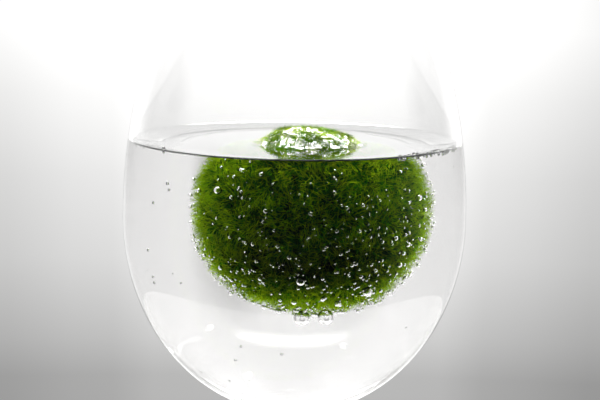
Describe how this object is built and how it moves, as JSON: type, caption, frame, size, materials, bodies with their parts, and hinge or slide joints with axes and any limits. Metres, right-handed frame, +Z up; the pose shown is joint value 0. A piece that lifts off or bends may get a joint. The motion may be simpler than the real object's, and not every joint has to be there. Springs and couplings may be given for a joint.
{
  "type": "moss ball in a stemmed glass of water",
  "caption": "Ball of living green moss floating at the surface of the water in a clear stemmed glass.",
  "frame": {"origin": "centre of the foot's underside, where the glass's axis meets the surface that it stands on", "axes": "+Z up along the glass's axis, towards the rim; +X towards the side that the ball floats nearer to"},
  "size_m": [0.09, 0.09, 0.214],
  "materials": {
    "glass": "polished",
    "water": "polished",
    "moss": "matte"
  },
  "bodies": {
    "root": {"glass": "glass", "water": "water", "moss_ball": "moss"}
  },
  "joints": []
}
